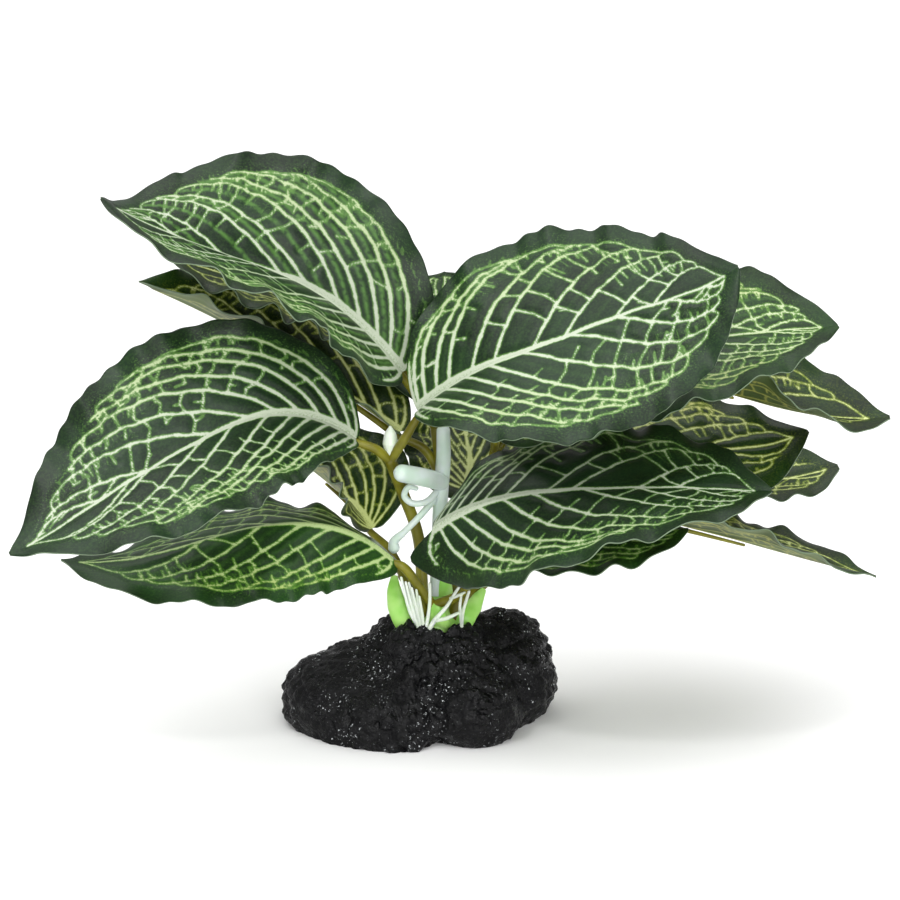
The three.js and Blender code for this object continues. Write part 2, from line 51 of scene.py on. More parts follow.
# ---- The leaves, as in the part's source ----
# Each leaf: four evenly spaced places along its midrib from base to tip, how far its left and right halves
# rise above level at the base, the middle and the tip (degrees), how much each half curves on upward, the
# widest width, how full the outline is at the base and at the tip (small is full), how far the left and
# right lobes at the base reach back, and the height of the ruffles along the edge.
LEAVES = {
    "front_left": {
        "midrib": ((-20, -12, 102), (-56, -30, 113), (-92, -48, 97), (-129, -62, 77)),
        "left": (-22, -22, -10), "right": (72, 58, 40), "cup": -4,
        "width": 72, "shape": (0.72, 0.88), "lobes": (2, 2), "ruffle": 2,
    },
    "top_left": {
        "midrib": ((-5, 2, 121), (-36, -4, 151), (-69, -14, 167), (-101, -25, 185)),
        "left": (-26, -5, -17), "right": (88, 72, 0), "cup": -4,
        "width": 79, "shape": (0.58, 0.78), "lobes": (3, 3), "ruffle": 2,
    },
    "front_right": {
        "midrib": ((0, -14, 112), (33, -26, 135), (70, -36, 150), (102, -42, 166)),
        "left": (80, 48, 38), "right": (-8, -46, -74), "cup": -4,
        "width": 82, "shape": (0.62, 0.78), "lobes": (0, 0), "ruffle": 2,
    },
    "low_right": {
        "midrib": ((5, -20, 74), (38, -34, 90), (77, -42, 94), (114, -45, 93)),
        "left": (30, 20, 25), "right": (-85, -22, -10), "cup": 0,
        "width": 74, "shape": (0.6, 0.7), "lobes": (2, 16), "ruffle": 2,
    },
    "low_left": {
        "midrib": ((-8, -12, 61), (-42, -22, 76), (-79, -27, 69), (-117, -28, 65)),
        "left": (-50, -42, -12), "right": (0, 0, 0), "cup": 0,
        "width": 56, "shape": (0.62, 0.82), "lobes": (5, 5), "ruffle": 2,
    },
    "shaded_left": {
        "midrib": ((-6, 12, 98), (-34, 18, 116), (-62, 17, 133), (-93, 10, 150)),
        "left": (20, 21, 22), "right": (36, 40, 50), "cup": 0,
        "width": 56, "shape": (0.6, 0.8), "lobes": (2, 2), "ruffle": 2,
    },
    "inner_left": {
        "midrib": ((-7, 14, 122), (-30, 20, 135), (-56, 20, 147), (-82, 14, 157)),
        "left": (0, 0, -25), "right": (40, 40, 40), "cup": 0,
        "width": 46, "shape": (0.6, 0.6), "lobes": (0, 0), "ruffle": 2.5,
    },
    "centre_left": {
        "midrib": ((-16, 12, 64), (-23, 17, 72), (-34, 20, 81), (-50, 22, 93)),
        "left": (28, 28, 28), "right": (66, 66, 60), "cup": 0,
        "width": 50, "shape": (0.5, 0.8), "lobes": (2, 2), "ruffle": 1.5,
    },
    "back_right": {
        "midrib": ((27, 2, 103), (63, -4, 126), (102, -4, 135), (139, 0, 137)),
        "left": (38, 38, 38), "right": (-22, -20, -12), "cup": 0,
        "width": 76, "shape": (0.5, 0.7), "lobes": (2, 2), "ruffle": 2,
    },
    "folded_right": {
        "midrib": ((43, 10, 107), (78, 12, 117), (116, 12, 108), (159, 12, 103)),
        "left": (20, 35, 32), "right": (-25, 28, -16), "cup": 0,
        "width": 60, "shape": (0.8, 0.7), "lobes": (0, 0), "ruffle": 2,
    },
    "middle_right": {
        "midrib": ((34, 18, 86), (65, 20, 91), (99, 22, 89), (133, 25, 95)),
        "left": (32, 32, 32), "right": (-16, -20, -42), "cup": 0,
        "width": 62, "shape": (0.6, 0.75), "lobes": (0, 0), "ruffle": 2,
    },
    "outer_right": {
        "midrib": ((63, 36, 65), (91, 42, 69), (119, 45, 71), (146, 47, 77)),
        "left": (30, 30, 30), "right": (18, 12, -30), "cup": 0,
        "width": 42, "shape": (0.6, 0.6), "lobes": (0, 0), "ruffle": 1.5,
    },
    "drooping_right": {
        "midrib": ((53, 8, 75), (86, 2, 69), (118, -1, 61), (154, -4, 52)),
        "left": (-6, 0, 12), "right": (4, 26, 8), "cup": 0,
        "width": 54, "shape": (0.6, 0.85), "lobes": (0, 0), "ruffle": 1.5,
    },
    "under_right": {
        "midrib": ((21, -3, 63), (42, -6, 66), (66, -10, 69), (90, -12, 71)),
        "left": (-12, -12, -12), "right": (-10, -16, -18), "cup": 0,
        "width": 46, "shape": (0.6, 0.65), "lobes": (0, 0), "ruffle": 1.5,
    },
    "centre_back": {
        "midrib": ((17, 20, 75), (17, 32, 83), (16, 45, 91), (14, 58, 97)),
        "left": (20, 20, 20), "right": (20, 20, 20), "cup": 0,
        "width": 46, "shape": (0.4, 0.8), "lobes": (6, 6), "ruffle": 1.5,
    },
    "top_back": {
        "midrib": ((5, 22, 106), (6, 34, 123), (8, 44, 135), (9, 54, 144)),
        "left": (28, 15, 15), "right": (15, 15, 15), "cup": 0,
        "width": 48, "shape": (0.5, 0.8), "lobes": (2, 2), "ruffle": 1.5,
    },
}

# Each spray's trunk, and the stalk from its trunk to each of its leaves.
SPRAYS = {
    "front": {
        "trunk": ((2, -4, 29), (1.5, -3.5, 45), (0, 0, 65), (-5, 0, 80), (-9, -7, 93)),
        "stalks": {
            "front_left": ((-9, -7, 93), (-14, -10, 98)),
            "front_right": ((-9, -7, 93), (-4, -11, 102)),
        },
    },
    "back": {
        "trunk": ((6, 5, 29), (6, 5, 50), (7, 7, 62), (8, 10, 82), (6, 12, 99)),
        "stalks": {
            "top_left": ((6, 12, 99), (1, 8, 109)),
            "shaded_left": ((8, 10, 82), (2, 12, 92)),
            "inner_left": ((6, 12, 99), (1, 15, 112)),
            "top_back": ((6, 12, 99), (6, 16, 102)),
        },
    },
    "right": {
        "trunk": ((11, 3, 29), (12, 4, 45), (17, 10, 59), (23, 13, 77), (26, 13, 91)),
        "stalks": {
            "back_right": ((26, 13, 91), (26, 7, 96)),
            "folded_right": ((26, 13, 91), (34, 12, 101)),
            "middle_right": ((23, 13, 77), (28, 16, 82)),
            "centre_back": ((17, 10, 59), (16, 15, 68)),
        },
    },
    "low": {
        "trunk": ((7, -5, 29), (6.5, -6, 38), (5, -7.5, 43)),
        "stalks": {
            "low_left": ((5, -7.5, 43), (0, -10, 51), (-5, -12, 58)),
            "low_right": ((5, -7.5, 43), (15, -11, 49), (17, -14, 59), (11, -17, 69)),
        },
    },
    "side": {
        "trunk": ((0, 2, 29), (0, 3, 42), (-5, 4, 50)),
        "stalks": {
            "centre_left": ((-5, 4, 50), (-10, 8, 58)),
        },
    },
    "outer": {
        "trunk": ((12, -3, 29), (13, -2, 42), (20, 4, 45)),
        "stalks": {
            "drooping_right": ((20, 4, 45), (29, 15, 53), (43, 15, 68)),
            "outer_right": ((20, 4, 45), (35, 22, 52), (52, 35, 59)),
            "under_right": ((20, 4, 45), (19, 0, 54)),
        },
    },
}

# The limbs of the small pieces: the places each passes through, and its radius at each.
PALE_STALK = [
    (
        ((6, -0.5, 29), (6, -0.5, 44), (6.5, 0, 56.5), (7.5, 1, 77.5), (8.5, 2, 91), (8.5, 3, 100.5)),
        (2.2, 2.2, 2.3, 2.5, 2.5, 2.3),
    ),
    (((7.5, 0, 84), (2, -7.5, 87.5), (-5, -11.5, 90)), (3, 3.1, 3)),
    (
        ((6.5, 0, 80.5), (2.5, -4, 78), (-2, -5, 78), (-4.5, -5, 80.5), (-3, -5, 83.5), (-0.5, -5, 83)),
        (1.2, 1.1, 1.1, 1.1, 1, 0.8),
    ),
    (
        ((6, 0, 78.5), (0.5, -4, 73), (-4.5, -5, 68), (-8, -5, 64.5), (-8, -5, 62.5)),
        (1.2, 1.1, 1.1, 1.6, 2),
    ),
]
WHITE_BUD = [
    (((-9, -7, 95.5), (-9, -7, 99), (-9, -7, 102.5), (-9, -7, 104.5)), (1.8, 2.6, 2, 0.6)),
]
WHITE_ROOTS = {
    "left": [
        (((2, -10, 28), (2, -10, 33), (-2.5, -12, 42), (-5.5, -13, 54.5)), (0.7, 0.7, 0.6, 0.4)),
        (((2, -10, 31), (-1.5, -12, 42), (-4, -13.5, 53)), (0.7, 0.6, 0.4)),
        (((2, -10, 31), (0, -12, 41.5), (-2, -13.5, 51)), (0.7, 0.6, 0.4)),
        (((2, -10, 32), (-2, -11, 42.5), (-5, -12.5, 52.5)), (0.9, 0.8, 0.4)),
        (((2, -10, 32), (-0.5, -11.5, 42.5), (-3, -12.5, 52.5)), (0.9, 0.8, 0.4)),
        (((2, -10, 32), (0.5, -11.5, 42), (-0.5, -12.5, 50)), (0.9, 0.8, 0.4)),
        (((2, -10, 31), (1.5, -12, 40.5), (0.5, -13.5, 48)), (0.7, 0.6, 0.4)),
        (((2, -10, 32), (3.5, -12.5, 41.5), (4, -13, 46.5), (4, -13.5, 52.5)), (0.7, 0.6, 0.6, 0.5)),
        (
            ((2, -10, 32), (5.5, -13, 39.5), (9.5, -13.5, 44.5), (12.5, -13.5, 49.5), (14.5, -13.5, 52.5)),
            (0.8, 0.8, 0.6, 0.5, 0.4),
        ),
        (((11, -13.5, 47.5), (13.5, -13.5, 48.5), (15.5, -13.5, 49.5)), (0.6, 0.5, 0.4)),
        (((5.5, -13, 39.5), (9.5, -13.5, 40.5), (13.5, -14, 42.5)), (0.7, 0.7, 0.5)),
    ],
    "right": [
        (((14.3, -6.9, 28), (14.5, -9, 35), (15, -12, 42), (17, -12.5, 49.5)), (0.7, 0.7, 0.6, 0.5)),
        (((14.5, -10.5, 38), (14, -13, 44.5), (14.5, -13, 48.5)), (0.6, 0.5, 0.4)),
    ],
}
SHEATHS = [
    (
        ((-1.5, -4.5, 31), (-5, -6, 36.5), (-7, -6, 42.5), (-8, -4, 47.5), (-8, -2, 51.5)),
        (3, 3.2, 3.4, 2.5, 1.2),
    ),
    (((13.5, -4, 30), (16, -4, 37.5), (18.5, -1, 41), (22, 1, 46)), (2.5, 3.3, 3.2, 1)),
    (((8, -1, 37), (8.5, -1.5, 46), (9.5, -2, 54.5)), (3.4, 3.2, 1.4)),
    (((7.5, -7, 35), (6, -9, 41), (4, -8.5, 44)), (4, 3, 1.2)),
]
# What holds the crown in the rock's pocket.
PLUG = (((6, 0, 27.6), (6, 0, 31), (6, 0, 36), (6, 0, 40.5)), (9.3, 9.6, 9, 5))

# How each leaf is printed: which cloth, how strongly pale ghost stripes show between its veins, and how
# steeply the side veins of its left and right halves leave the midrib.
PRINTS = {
    "front_left": ("white_veined", 0.0, 1.1, 0.95),
    "top_left": ("white_veined", 0.9, 1.6, 1.15),
    "front_right": ("white_veined", 0.1, 2.4, 1.2),
    "low_right": ("white_veined", 0.0, 2.4, 1.3),
    "low_left": ("green_veined", 0.3, 1.0, 1.0),
    "shaded_left": ("yellow_veined", 0.0, 1.0, 1.0),
    "inner_left": ("yellow_veined", 0.0, 1.0, 1.0),
    "centre_left": ("yellow_veined", 0.0, 1.0, 1.0),
    "back_right": ("sage_veined", 0.5, 1.0, 1.0),
    "folded_right": ("yellow_veined", 0.3, 1.0, 1.0),
    "middle_right": ("yellow_veined", 0.1, 1.0, 1.0),
    "outer_right": ("yellow_veined", 0.2, 1.0, 1.0),
    "drooping_right": ("yellow_veined", 0.2, 1.0, 1.0),
    "under_right": ("green_veined", 0.0, 1.0, 1.0),
    "centre_back": ("yellow_veined", 0.0, 1.0, 1.0),
    "top_back": ("sage_veined", 0.0, 1.0, 1.0),
}

BLADE_THICKNESS = 0.4
BLADE_STEP = 0.6  # between the points of a blade's mesh
RUFFLES = 5.5  # the wide waves along each edge
CRIMP_LENGTH = 9.0  # the fine waves along each edge
CRIMP_HEIGHT = 0.75
SCALLOP_LENGTH = 7.5  # the scallops that each edge is cut in
SCALLOP_DEPTH = 0.4
PUFF = 0.35  # how far the cloth between the veins is embossed
PUFF_START = 2.6  # how far from a vein it is fully embossed
BUCKLE = 0.45  # the slow unevenness of the cloth
BUCKLE_WIDTH = 14.0

# Side veins, from the base on: where each leaves the midrib, as a share of the leaf's length.
SIDE_VEIN_STARTS = (0.015, 0.045, 0.085, 0.140, 0.210, 0.295, 0.400, 0.530, 0.670, 0.805)
FEWER_SIDE_VEIN_STARTS = (0.015, 0.060, 0.125, 0.215, 0.330, 0.480, 0.660)
SMALL_LEAF = 64  # a leaf narrower than this has the fewer side veins
NET_REACH = 0.87  # how far out the side veins near the base end, as a share of the half width
SIDE_VEIN_BEND = 2.2  # how sharply a side vein turns along the margin
# How wide the midrib is at shares of its length, before VEIN_SIZE.
MIDRIB_WIDTHS = ((0, 0.1, 0.25, 0.4, 0.5, 0.7, 1), (4.8, 4.2, 3.2, 2.1, 1.5, 1.1, 0.6))
VEIN_SIZE = 0.9  # multiplies the width of every vein, on a leaf of the usual width
USUAL_WIDTH = 75
CELL_LENGTHS = (12.0, 4.0)  # between the cross veins, near the midrib and near the margin
SPUR_SPACING = 2.4  # the short spurs on the outer part of each side vein
BRISTLE_SPACING = 1.6  # the fine bristles outside the net
FAR_OFF = 6.0  # distances to a vein are kept up to this
DEEP_IN = -3.0  # and, inside a wide vein, down to this
SOFT_JOIN = 0.15  # how softly veins run together where they meet


# ---- Small helpers ----
def cell_chance(cell, seed):
    """A number from -1 to 1 for each whole-number cell, the same on every run."""
    # Large odd numbers stir the bits of the cell and the seed.
    key = cell & 0xFFFF
    stirred = key[..., 0] * 7919 + key[..., 1] * 104729 + key[..., 2] * 1299709 + seed * 15485863
    stirred = (stirred ^ (stirred >> 11)) * 2654435 & 0xFFFFFFFF
    stirred = (stirred ^ (stirred >> 13)) * 40503 & 0xFFFFFFFF
    return ((stirred >> 8) & 0xFFFF) / 32767.5 - 1


def lump_noise(points, size, seed):
    """Smooth noise from -1 to 1 at each point, with lumps about `size` wide."""
    place = np.asarray(points, float) / size
    cell = np.floor(place).astype(np.int64)
    part = place - cell
    blend = part * part * (3 - 2 * part)
    total = np.zeros(place.shape[:-1])
    for corner in itertools.product((0, 1), repeat=3):
        weight = np.prod(np.where(np.array(corner) == 1, blend, 1 - blend), axis=-1)
        total += cell_chance(cell + np.array(corner), seed) * weight
    return total


def pebbles(points, size, seed):
    """Round bumps from 0 to 1 at each point, like gravel about `size` wide pressed together."""
    place = np.asarray(points, float) / size
    cell = np.floor(place).astype(np.int64)
    nearest = np.full(place.shape[:-1], 9.0)
    for step in itertools.product((-1, 0, 1), repeat=3):
        near = cell + np.array(step)
        jitter = np.stack([cell_chance(near, seed + axis) for axis in range(3)], axis=-1)
        nearest = np.minimum(nearest, ((place - near - 0.5 - 0.45 * jitter) ** 2).sum(axis=-1))
    return np.clip(1 - 1.2 * nearest, 0, 1)


def unit(vectors):
    """The vectors at length one."""
    return vectors / np.maximum(np.linalg.norm(vectors, axis=-1, keepdims=True), 1e-12)


def new_object(name, data):
    """A new object with that data, put in the scene."""
    made = bpy.data.objects.new(name, data)
    bpy.context.scene.collection.objects.link(made)
    return made


def mesh_piece(name, points, faces, materials, replaced=(), slot=None, numbers=None, face_slots=None):
    """A smooth mesh that rides on the plant, from points in mm, with named numbers kept at its points."""
    mesh = bpy.data.meshes.new(name)
    mesh.from_pydata((np.asarray(points) * MM).tolist(), [], [list(map(int, face)) for face in faces])
    for key, values in (numbers or {}).items():
        is_vector = np.ndim(values) == 2
        kept = mesh.attributes.new(key, "FLOAT_VECTOR" if is_vector else "FLOAT", "POINT")
        kept.data.foreach_set("vector" if is_vector else "value", np.ravel(values).astype(np.float32))
    for material in materials:
        mesh.materials.append(material)
    if face_slots is not None:
        mesh.polygons.foreach_set("material_index", np.asarray(face_slots, np.int32))
    mesh.polygons.foreach_set("use_smooth", np.ones(len(mesh.polygons), bool))
    mesh.update()
    piece = new_object(name, mesh)
    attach(piece, "root")
    if replaced:
        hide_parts(*replaced)
    return piece


# ---- Materials ----
# Polyester, polyethylene and resin all have an IOR near 1.5, which is the surface node's own. How strongly
# each shines is matched to the photo by its specular level.
THREAD_SPACING = 0.45  # finer on the real cloth: drawn this coarse so that the weave shows
INK_BLOT = 1.8  # the blots that make the print's edges ragged
INK_SPECK = 0.7
CLOTH_PATCH = 22.0  # patches of darker and lighter green
BACK_BLOT = 0.6
BACK_PATCH = 15.0
MOULD_RIPPLE = 1.5
# The noises of the grit: how wide the grains of each are in mm, and its detail. The faint painted glints,
# highlights put into the colour, are drawn coarse so that they show. The finest dust is drawn coarser
# than it is, so that it shows.
GRIT_GRAINS = {
    "clusters": (10, 3.0), "creases": (2.2, 2.0), "breaks": (1.0, 2.0), "glinting_chips": (1.4, 4.0),
    "faint_painted_glints": (0.5, 2.0), "patches": (5, 2.0), "wet": (7, 3.0), "bumps": (1.0, 3.0),
}
SMOOTH = {"interpolation_type": "SMOOTHSTEP"}
# A Mix node's settings, output and sockets when it mixes colours.
COLOURS = {"data_type": "RGBA", "output": 2}
SHARE, UNDER, OVER = 0, 6, 7


def colour(code):
    """A hex sRGB colour as linear RGBA."""
    shares = [int(code[i : i + 2], 16) / 255 for i in (1, 3, 5)]
    return [c / 12.92 if c <= 0.04045 else ((c + 0.055) / 1.055) ** 2.4 for c in shares] + [1.0]


def add_node(material, kind, inputs=(), output=0, **settings):
    """Adds a shader node with its settings, its inputs set or linked, and gives one of its outputs."""
    made = material.node_tree.nodes.new("ShaderNode" + kind)
    for key, value in settings.items():
        setattr(made, key, value)
    for key, value in inputs.items() if isinstance(inputs, dict) else enumerate(inputs):
        if isinstance(value, bpy.types.NodeSocket):
            material.node_tree.links.new(value, made.inputs[key])
        else:
            made.inputs[key].default_value = value
    return made.outputs[output]


def new_material(name, **surface):
    """A material with its Principled surface node."""
    material = bpy.data.materials.new(name)
    material.use_nodes = True
    shader = material.node_tree.nodes["Principled BSDF"]
    for key, value in surface.items():
        shader.inputs[key.replace("_", " ")].default_value = value
    return material, shader


def link(material, source, shader, name):
    """Links a socket to the surface node's input of that name."""
    material.node_tree.links.new(source, shader.inputs[name])


def printed_cloth(name, vein, outer_vein, halo, dark, light, ghost):
    """Printed woven polyester: a low satin sheen, and ink that is soft and ragged along the threads."""
    material, shader = new_material(name, Roughness=0.40, Specular_IOR_Level=0.26)
    add = functools.partial(add_node, material)
    flat = add("Attribute", output="Vector", attribute_name="flat")
    vein_gap, hair_gap, ghosts = (
        add("Attribute", output="Fac", attribute_name=key) for key in ("vein", "hair", "ghost")
    )
    threads, blots, specks, patches = (
        add("TexNoise", {"Vector": flat, "Scale": 1 / width, "Detail": detail})
        for width, detail in ((THREAD_SPACING, 1.0), (INK_BLOT, 1.0), (INK_SPECK, 1.0), (CLOTH_PATCH, 2.0))
    )
    weave, blot = (add("Math", (noise, 0.5), operation="SUBTRACT") for noise in (threads, blots))
    rough_blots = add("Math", (blot, 0.5), operation="MULTIPLY")
    rough_threads = add("Math", (weave, 0.6), operation="MULTIPLY")
    ragged = add("Math", (rough_blots, rough_threads), operation="ADD")
    veins, hairs = (add("Math", (gap, ragged), operation="ADD") for gap in (vein_gap, hair_gap))
    across = add("SeparateXYZ", (flat,), output="Y")
    from_midrib = add("Math", (across, 0.0), operation="ABSOLUTE")
    # Each ink's noise or distance, where on it the ink starts and is full, and its shares there.
    inks = {
        "patches": (patches, 0.35, 0.65),
        "specks": (specks, 0.35, 0.75, 0.0, 0.10),
        "near_hairs": (hair_gap, 4.0, 0.5),
        "raised_threads": (weave, 0.08, 0.20),
        "blots": (blot, -0.3, 0.1),
        "hairs": (hairs, 0.25, -0.1, 0.0, 0.6),
        "halo": (veins, 0.55, 0.15, 0.0, 0.8),
        "outward": (from_midrib, 8.0, 26.0, 0.0, 0.7),
        "deep_in_vein": (veins, -0.5, -1.3),
        "worn_threads": (weave, -0.02, 0.12),
        "veins": (veins, 0.16, -0.2),
    }
    for key, ramp in inks.items():
        inks[key] = add("MapRange", ramp, **SMOOTH)
    inks["stripes"] = add("Math", (ghosts, inks["blots"]), operation="MULTIPLY")
    for key, first, second, most in (
        ("stipple", "near_hairs", "raised_threads", 0.40),
        ("pith", "deep_in_vein", "worn_threads", 0.45),
    ):
        both = add("Math", (inks[first], inks[second]), operation="MULTIPLY")
        inks[key] = add("Math", (both, most), operation="MULTIPLY")
    core = colour(vein)
    for key, ink in (("outward", outer_vein), ("pith", halo)):
        core = add("Mix", {SHARE: inks[key], UNDER: core, OVER: colour(ink)}, **COLOURS)
    tone = colour(dark)
    for key, ink in (
        ("patches", colour(light)), ("specks", colour(halo)), ("stipple", colour(halo)),
        ("stripes", colour(ghost)), ("hairs", colour(halo)), ("halo", colour(halo)), ("veins", core),
    ):
        tone = add("Mix", {SHARE: inks[key], UNDER: tone, OVER: ink}, **COLOURS)
    link(material, tone, shader, "Base Color")
    bump = add("Bump", {"Height": weave, "Strength": 0.25, "Distance": 0.12 * MM})
    link(material, bump, shader, "Normal")
    return material


def cloth_underside(name, vein, dark, light):
    """The back of the woven polyester: duller, with the print showing through faintly."""
    material, shader = new_material(name, Roughness=0.6)
    add = functools.partial(add_node, material)
    flat = add("Attribute", output="Vector", attribute_name="flat")
    vein_gap = add("Attribute", output="Fac", attribute_name="vein")
    blots, patches = (
        add("TexNoise", {"Vector": flat, "Scale": 1 / width, "Detail": 2.0})
        for width in (BACK_BLOT, BACK_PATCH)
    )
    blot = add("Math", (blots, 0.5), operation="SUBTRACT")
    ragged = add("Math", (blot, 0.8), operation="MULTIPLY")
    veins = add("Math", (vein_gap, ragged), operation="ADD")
    tone = colour(dark)
    for ramp, ink in (((patches, 0.35, 0.65), light), ((veins, 0.5, -0.2, 0.0, 0.7), vein)):
        share = add("MapRange", ramp, **SMOOTH)
        tone = add("Mix", {SHARE: share, UNDER: tone, OVER: colour(ink)}, **COLOURS)
    link(material, tone, shader, "Base Color")
    return material


def moulded_plastic(name, main, patch, width, glow, roughness=0.4):
    """Moulded polyethylene: waxy, a little see-through, and uneven in tone in patches `width` mm wide."""
    material, shader = new_material(name, Roughness=roughness, Specular_IOR_Level=0.35)
    shader.inputs["Subsurface Weight"].default_value = glow
    shader.inputs["Subsurface Radius"].default_value = (3.0, 3.0, 2.0)
    shader.inputs["Subsurface Scale"].default_value = MM
    add = functools.partial(add_node, material)
    place = add("TexCoord", output="Object")
    patches, ripples = (
        add("TexNoise", {"Vector": place, "Scale": 1 / (grain * MM), "Detail": 2.0})
        for grain in (width, MOULD_RIPPLE)
    )
    share = add("MapRange", (patches, 0.35, 0.65), **SMOOTH)
    tone = add("Mix", {SHARE: share, UNDER: colour(main), OVER: colour(patch)}, **COLOURS)
    link(material, tone, shader, "Base Color")
    bump = add("Bump", {"Height": ripples, "Strength": 0.2, "Distance": 0.3 * MM})
    link(material, bump, shader, "Normal")
    return material


def black_grit(name):
    """Black resin cast over grit: wet in patches, with clusters of white glints painted into its colour,
    partly on glassy chips.
    """
    material, shader = new_material(name, Specular_IOR_Level=0.18)
    add = functools.partial(add_node, material)
    place = add("TexCoord", output="Object")
    noises = {}
    for key, (width, detail) in GRIT_GRAINS.items():
        grain = {"Vector": place, "Scale": 1 / (width * MM), "Detail": detail}
        noises[key] = add("TexNoise", grain)
    off_crease = add("Math", (noises["creases"], 0.5), operation="SUBTRACT")
    noises["creases"] = add("Math", (off_crease, 0.0), operation="ABSOLUTE")
    # Where each noise starts to show and is full, and its values there.
    ramps = {
        "clusters": (0.46, 0.62), "creases": (0.026, 0.008), "breaks": (0.58, 0.66), "glinting_chips": (0.69, 0.73),
        "faint_painted_glints": (0.66, 0.78, 0.0, 0.22), "patches": (0.3, 0.7), "wet": (0.42, 0.60, 0.55, 0.20),
    }
    shares = {}
    for key, ramp in ramps.items():
        shares[key] = add("MapRange", (noises[key], *ramp), **SMOOTH)
    painted_glints = shares["creases"]
    # The painted glints lie where creases are broken and on the glassy chips, both in clusters, and faint
    # painted glints lie everywhere.
    steps = {"breaks": "MULTIPLY", "glinting_chips": "MAXIMUM", "clusters": "MULTIPLY", "faint_painted_glints": "MAXIMUM"}
    for key, operation in steps.items():
        painted_glints = add("Math", (painted_glints, shares[key]), operation=operation)
    tone = colour("#020203")
    # The near-white is painted glints: highlights put into the colour over the black resin, partly on its
    # glassy chips.
    for share, over in ((shares["patches"], "#09090B"), (painted_glints, "#D5DADC")):
        tone = add("Mix", {SHARE: share, UNDER: tone, OVER: colour(over)}, **COLOURS)
    link(material, tone, shader, "Base Color")
    link(material, shares["wet"], shader, "Roughness")
    bump = add("Bump", {"Height": noises["bumps"], "Strength": 0.8, "Distance": 0.8 * MM})
    link(material, bump, shader, "Normal")
    return material


# The printed cloths: the veins near the midrib and further out, the green beside them, the leaf's dark and
# light green, and the ghost stripes.
CLOTH_INKS = {
    "white_veined": ("#B2BBA6", "#9FB27A", "#527A34", "#08190A", "#122814", "#4A7430"),
    "green_veined": ("#ADC184", "#A3B75C", "#507F26", "#0A2309", "#173912", "#406A26"),
    "sage_veined": ("#B2C098", "#A6B264", "#547C2C", "#091E07", "#133010", "#3A6424"),
    "yellow_veined": ("#CFD892", "#CCC66A", "#76882A", "#071A05", "#102E0A", "#385C1A"),
}
CLOTHS = {key: printed_cloth("printed_polyester_" + key, *inks) for key, inks in CLOTH_INKS.items()}
# The backs of the same cloths: the veins that show through, and the cloth's dark and light tones.
BACK_TONES = {
    "white_veined": ("#A9B596", "#56654F", "#76806E"),
    "green_veined": ("#9DB076", "#3F5A30", "#5C7448"),
    "sage_veined": ("#9DB076", "#4A5E44", "#687C60"),
    "yellow_veined": ("#A8A850", "#3C4C22", "#5A6A3C"),
}
BACKS = {key: cloth_underside("polyester_back_" + key, *tones) for key, tones in BACK_TONES.items()}
# The cloth's cut edge shows its bare fibres, dull and greyer than the print.
CUT_EDGE = new_material("cut_polyester_edge", Base_Color=colour("#62745A"), Roughness=0.6)[0]
# The stems look the most solid. The milky stalk lets the most light in and is the glossiest.
STEM_PLASTIC = moulded_plastic("moulded_olive_polyethylene", "#5C590A", "#7C7A1C", width=9, glow=0.15)
SHEATH_PLASTIC = moulded_plastic(
    "moulded_green_polyethylene", "#93D25A", "#B0E07C", width=7, glow=0.3, roughness=0.3
)
MILKY_PLASTIC = moulded_plastic(
    "moulded_milky_polyethylene", "#CAD6D2", "#BED2C4", width=6, glow=0.4, roughness=0.25
)
WHITE_PLASTIC = moulded_plastic(
    "moulded_white_polyethylene", "#D8E0D4", "#CCDAC2", width=5, glow=0.3, roughness=0.3
)
ROCK_RESIN = black_grit("cast_black_grit_resin")


# ---- Leaf surfaces ----
def half_width(leaf, s):
    """Half the blade's width at s, with the drawn-out tip."""
    rise, fall = leaf["shape"]
    peak = rise / (rise + fall)
    widest = peak**rise * (1 - peak) ** fall
    return s**rise * (1 - s) ** fall / widest * (1 - 0.55 * s**20) * leaf["width"] / 2


def midrib_points(leaf, s):
    """The midrib's places at s: the cubic curve through the leaf's four places."""
    weights = (
        -4.5 * (s - 1 / 3) * (s - 2 / 3) * (s - 1),
        13.5 * s * (s - 2 / 3) * (s - 1),
        -13.5 * s * (s - 1 / 3) * (s - 1),
        4.5 * s * (s - 1 / 3) * (s - 2 / 3),
    )
    return sum(w[..., None] * np.array(place, float) for w, place in zip(weights, leaf["midrib"]))


def midrib_length(leaf):
    """The midrib's length."""
    places = midrib_points(leaf, np.linspace(0, 1, 60))
    return float(np.linalg.norm(np.diff(places, axis=0), axis=1).sum())


def half_rise(angles, s):
    """How far one half of the blade rises above level at s, in radians."""
    base, middle, tip = (math.radians(angle) for angle in angles)
    return 2 * (s - 0.5) * (s - 1) * base + 4 * s * (1 - s) * middle + 2 * s * (s - 0.5) * tip


def midrib_axes(leaf, s):
    """The directions along the midrib, level to its right, and up from it."""
    forward = unit(midrib_points(leaf, s + 0.01) - midrib_points(leaf, s - 0.01))
    right = unit(np.cross(forward, UP))
    return forward, right, np.cross(right, forward)


def lobe_reach(leaf, s, u):
    """How far back the rounded lobes at the base carry the cloth at (s, u)."""
    left, right = leaf["lobes"]
    return np.where(u < 0, left, right) * u**2 * (1 - s) ** 4 * (1 - np.exp(-s / 0.0025))


def flat_places(leaf, s, u, length):
    """Where (s, u) lies on the leaf's cloth before it is bent, in mm."""
    along = s * length - lobe_reach(leaf, s, u)
    return np.stack((along, u * half_width(leaf, s)), axis=-1)


